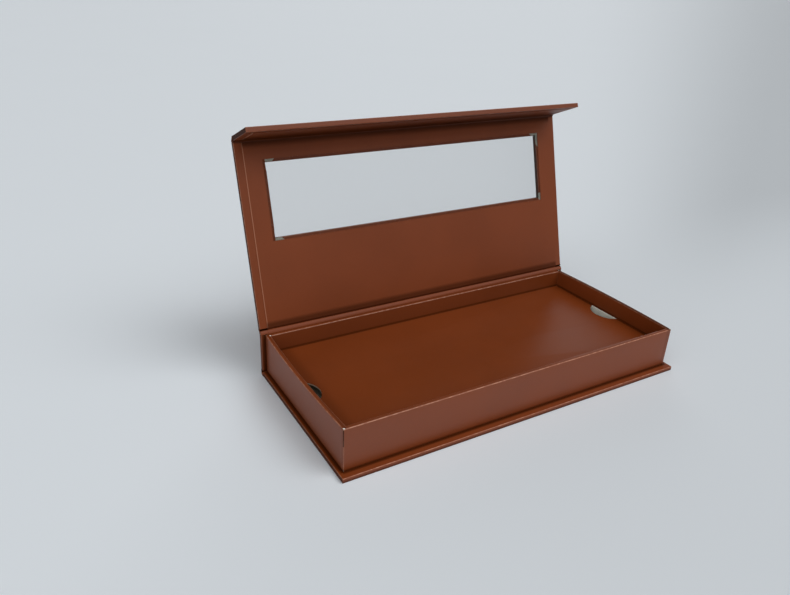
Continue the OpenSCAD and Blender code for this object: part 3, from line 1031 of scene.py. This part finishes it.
class COSMETICBOX_OT_boards(bpy.types.Operator):
    """Finishes the bare boards, the raw card and the magnets"""

    bl_idname = "cosmetic_box.boards"
    bl_label = "Boards and Magnets"

    def execute(self, context):
        box = settings_of(context)[0]
        flat_board = greyboard("greyboard", box.grey)
        dress(["base_board", "spine_board", "tray_floor", "tray_wall_front", "tray_wall_back"], flat_board)
        dress(["lid_board"], greyboard("lid greyboard", box.grey, LID_SHUTS, (box, *window_hole())))
        dress(["flap_board"], greyboard("flap greyboard", box.grey, FLAP_SHUTS))
        legs = [f"platform_leg_{side}" for side in (*ENDS.values(), *SIDES.values())]
        dress(legs, greyboard("raw card", box.card))
        dress(["platform_card"], greyboard("folded card", FOLDED_CARD))
        magnets = [f"{panel}_magnet_{side}" for panel in ("tray", "flap") for side in SIDES.values()]
        dress(magnets, magnet_metal("magnet nickel"))
        return {"FINISHED"}


class COSMETICBOX_OT_tray(bpy.types.Operator):
    """Builds the tray's covering paper over its bowed walls"""

    bl_idname = "cosmetic_box.tray"
    bl_label = "Tray"

    def execute(self, context):
        box = settings_of(context)[0]
        # Painted shade on the tray paper: on the inner back and right walls, at the foot, along the lapped
        # seam, on the rims and just above the platform.
        inner_back = PaintedShade(1, (TRAY_HIGH.y - WALL) / MM, 0.4, 0.7, 0.2)
        inner_right = PaintedShade(0, (TRAY_HIGH.x - WALL) / MM, 0.6, 1.4, 0.12)
        foot = PaintedShade(2, TRAY_LOW.z / MM, 0.3, 1.5, 0.4)
        lapped = ((0, TRAY_LOW.x / MM - 0.5, TRAY_LOW.x / MM + 0.3), (2, 15.0, TRAY_HIGH.z / MM - 0.6))
        seam = PaintedShade(1, TRAY_LOW.y / MM + 0.35, 0.12, 0.36, 0.75, lapped)
        top = (2, TRAY_HIGH.z / MM - 0.3, TRAY_HIGH.z / MM + 0.3)
        left_rim = PaintedShade(0, TRAY_LOW.x / MM + 0.9, 0.3, 0.8, 0.25, (top,))
        right_rim = PaintedShade(0, TRAY_HIGH.x / MM, 2.0, 2.4, 0.55, (top,))
        middle = 0.5 * WALL / MM
        inside = [(i, TRAY_LOW[i] / MM + middle, TRAY_HIGH[i] / MM - middle) for i in range(2)]
        platform = PaintedShade(2, DECK_HIGH.z / MM + 0.1, 0.2, 0.8, 0.45, inside)
        back_rim = PaintedShade(1, TRAY_HIGH.y / MM, 0.6, 1.4, 0.3, (top,))
        painted_shades = [inner_back, inner_right, foot, seam, left_rim, right_rim, back_rim, platform]
        # lift lightens the tray paper as painted light.
        paper = covering_paper("tray paper", box, ior=1.6, lift=1.06, painted_shades=painted_shades)
        build_tray_cover(box, paper)
        build_lap(box, paper)
        for side in (LEFT, RIGHT):
            build_bowed_board(box, side, greyboard("short wall greyboard", box.grey))
        build_rim_slits(greyboard("slit board glint", SLIT_BOARD_GLINT), greyboard("slit shade", SLIT_NICK_SHADE))
        return {"FINISHED"}


class COSMETICBOX_OT_hinges(bpy.types.Operator):
    """Builds the papers that bend between spine, lid and flap"""

    bl_idname = "cosmetic_box.hinges"
    bl_label = "Paper Hinges"

    def execute(self, context):
        box = settings_of(context)[0]
        paper = covering_paper("hinge paper", box, wear_and_highlight=0.0)
        self.lid_cover(paper)
        # Painted shade on the groove paper where it dips under the lid's bottom, deepest at both ends.
        bottom = (LID_OPENS @ Vector((0, LID_HIGH.y, LID_LOW.z))).z / MM
        slot_shade = PaintedShade(2, bottom, 0.5, 1.0, 0.6)
        inner, outer = LID_LINING_HIGH.x / MM, SPINE_HIGH.x / MM + 1.0
        limits = ((-outer, -inner), (inner, outer))
        end_slot_shades = [PaintedShade(2, bottom, 0.9, 1.3, 0.9, ((0, low, high),)) for low, high in limits]
        slot_shades = [slot_shade, *end_slot_shades]
        self.lid_liner(box, covering_paper("groove paper", box, wear_and_highlight=0.0, rough=0.62, painted_shades=slot_shades))
        self.flap_cover(paper)
        # Painted shade in the crease between lid and flap.
        crease = PaintedShade(2, (LID_OPENS @ Vector((0, LID_LOW.y, LID_LOW.z))).z / MM, 1.2, 3.5, 0.62)
        self.flap_liner(box, covering_paper("crease paper", box, wear_and_highlight=0.0, painted_shades=[crease]))
        return {"FINISHED"}

    def lid_cover(self, paper):
        """Outer paper, from the spine to the outside of the lid"""
        start = Vector((SPINE_HIGH.y - PAPER / 2, SPINE_HIGH.z))
        end = flat(LID_OPENS @ Vector((0, LID_HIGH.y, LID_HIGH.z - PAPER / 2)))
        pull = (end - start).length / 3
        path = bezier(start, start + Vector((0, pull)), end - direction(LID_OPENS, -1, 0) * pull, end, 10)
        strips = [(path, -SPINE_HIGH.x, SPINE_HIGH.x)]
        build_hinge("lid_hinge_cover", "lid_hinge_wrap", strips, paper)

    def groove_path(self, depth):
        """From the top of the spine's lining, over the spine, down into the groove and up the lid"""
        start = Vector(((LINING_LOW.y + LINING_HIGH.y) / 2 + depth, LINING_HIGH.z))
        face = LID_LINING_LOW.z + PAPER / 2 + depth
        end = flat(LID_OPENS @ Vector((0, LID_LINING_HIGH.y, face)))
        upward = direction(LID_OPENS, -1, 0)
        lip = start + Vector((1.0, 1.45)) * MM
        groove = lip + Vector((0.95, -0.35)) * MM
        up_spine, down_lip = Vector((0.15, 0.6)) * MM, Vector((0.5, 0.35)) * MM
        up_lip, into_groove = Vector((0.4, 0.25)) * MM, Vector((0.3, 0.0)) * MM
        slope = bezier(start, start + up_spine, lip - down_lip, lip, 6)
        over = bezier(lip, lip + up_lip, groove - into_groove, groove, 6)
        rise = bezier(groove, groove + Vector((0.45, 0.0)) * MM, end - upward * 0.9 * MM, end, 8)
        return slope + over[1:] + rise[1:]

    def lid_liner(self, box, paper):
        """Lining from the spine to the inside of the lid, and the turned ends of the outer paper under it"""
        half = LID_LINING_HIGH.x
        strips = [(self.groove_path(0), -half, half)]
        strips += both_ends(self.groove_path(PAPER), SPINE_HIGH.x, box.turn_in)
        build_hinge("lid_hinge_liner", "lid_hinge_lining", strips, paper)

    def flap_cover(self, paper):
        """Outer paper, from the lid to the outside of the flap"""
        start = flat(LID_OPENS @ Vector((0, LID_LOW.y, LID_HIGH.z - PAPER / 2)))
        end = flat(FLAP_OPENS @ Vector((0, FLAP_LOW.y + PAPER / 2, FLAP_HIGH.z)))
        down = direction(FLAP_OPENS, 0, -1)
        path = bezier(start, start.lerp(end, 0.3), end - down * 0.3 * MM, end, 12)
        strips = [(path, -FLAP_HIGH.x, FLAP_HIGH.x)]
        build_hinge("flap_hinge_cover", "flap_hinge_wrap", strips, paper)

    def cove_path(self, reach, depth):
        """Round the inner corner between lid and flap, from reach down the lid to reach out on the flap"""
        under = PAPER / 2 + depth
        start = flat(LID_OPENS @ Vector((0, LID_LOW.y + reach, LID_LINING_LOW.z + under)))
        end = flat(FLAP_OPENS @ Vector((0, FLAP_LINING_HIGH.y - under, FLAP_HIGH.z - reach)))
        upward, outward = direction(LID_OPENS, -1, 0), direction(FLAP_OPENS, 0, -1)
        return bezier(start, start + upward * 0.55 * reach, end - outward * 0.55 * reach, end, 11)

    def flap_liner(self, box, paper):
        """Lining rounded across the inner corner between lid and flap, over the turned ends
        """
        half = LID_LINING_HIGH.x
        reach, turned_reach, set_in = 0.9 * MM, 0.7 * MM, 0.1 * MM
        path = self.cove_path(reach, 0)
        strips = [(path, -half, half)]
        strips += both_ends(self.cove_path(turned_reach, PAPER), FLAP_HIGH.x - set_in, box.turn_in)
        build_hinge("flap_hinge_liner", None, strips, paper)


class COSMETICBOX_OT_platform(bpy.types.Operator):
    """Builds the platform's folded brown face with its thumb notches"""

    bl_idname = "cosmetic_box.platform"
    bl_label = "Platform"

    def execute(self, context):
        box = settings_of(context)[0]
        # Painted shade along the platform's four edges, and a broad band beside the left wall.
        edges = [(0, DECK_LOW.x), (0, DECK_HIGH.x), (1, DECK_LOW.y), (1, DECK_HIGH.y)]
        painted_shades = [PaintedShade(axis, edge / MM, 0.3, 1.5, 0.6) for axis, edge in edges]
        painted_shades.append(PaintedShade(0, DECK_LOW.x / MM, 5.2, 11.0, 0.2))
        paper = covering_paper("platform paper", box, wear_and_highlight=0.0, rough=0.4, ior=1.5, painted_shades=painted_shades)
        build_platform_skin(box, paper)
        return {"FINISHED"}


class COSMETICBOX_OT_window(bpy.types.Operator):
    """Finishes the clear film of the window"""

    bl_idname = "cosmetic_box.window"
    bl_label = "Window"

    def execute(self, context):
        dress(["window_film"], clear_film("clear film"))
        return {"FINISHED"}


class COSMETICBOX_PT_panel(bpy.types.Panel):
    """Lists the box's pieces and its studio"""

    bl_label = "Cosmetic Box"
    bl_idname = "COSMETICBOX_PT_panel"
    bl_space_type = "VIEW_3D"
    bl_region_type = "UI"
    bl_category = "Cosmetic Box"

    def draw(self, context):
        for group in settings_of(context):
            for name in group.bl_rna.properties.keys():
                if name not in ("rna_type", "name"):
                    self.layout.prop(group, name)
        for operator in PIECES:
            self.layout.operator(operator.bl_idname)


PIECES = (
    COSMETICBOX_OT_stage,
    COSMETICBOX_OT_papers,
    COSMETICBOX_OT_boards,
    COSMETICBOX_OT_tray,
    COSMETICBOX_OT_hinges,
    COSMETICBOX_OT_platform,
    COSMETICBOX_OT_window,
)
CLASSES = (BoxSettings, StudioSettings, *PIECES, COSMETICBOX_PT_panel)


def register():
    for kind in CLASSES:
        bpy.utils.register_class(kind)
    bpy.types.Scene.cosmetic_box = bpy.props.PointerProperty(type=BoxSettings)
    bpy.types.Scene.cosmetic_studio = bpy.props.PointerProperty(type=StudioSettings)


def unregister():
    del bpy.types.Scene.cosmetic_box
    del bpy.types.Scene.cosmetic_studio
    for kind in reversed(CLASSES):
        bpy.utils.unregister_class(kind)


def main():
    """Registers the add-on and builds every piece"""
    register()
    bpy.ops.cosmetic_box.stage()
    bpy.ops.cosmetic_box.papers()
    bpy.ops.cosmetic_box.boards()
    bpy.ops.cosmetic_box.tray()
    bpy.ops.cosmetic_box.hinges()
    bpy.ops.cosmetic_box.platform()
    bpy.ops.cosmetic_box.window()


if __name__ == "__main__":
    main()
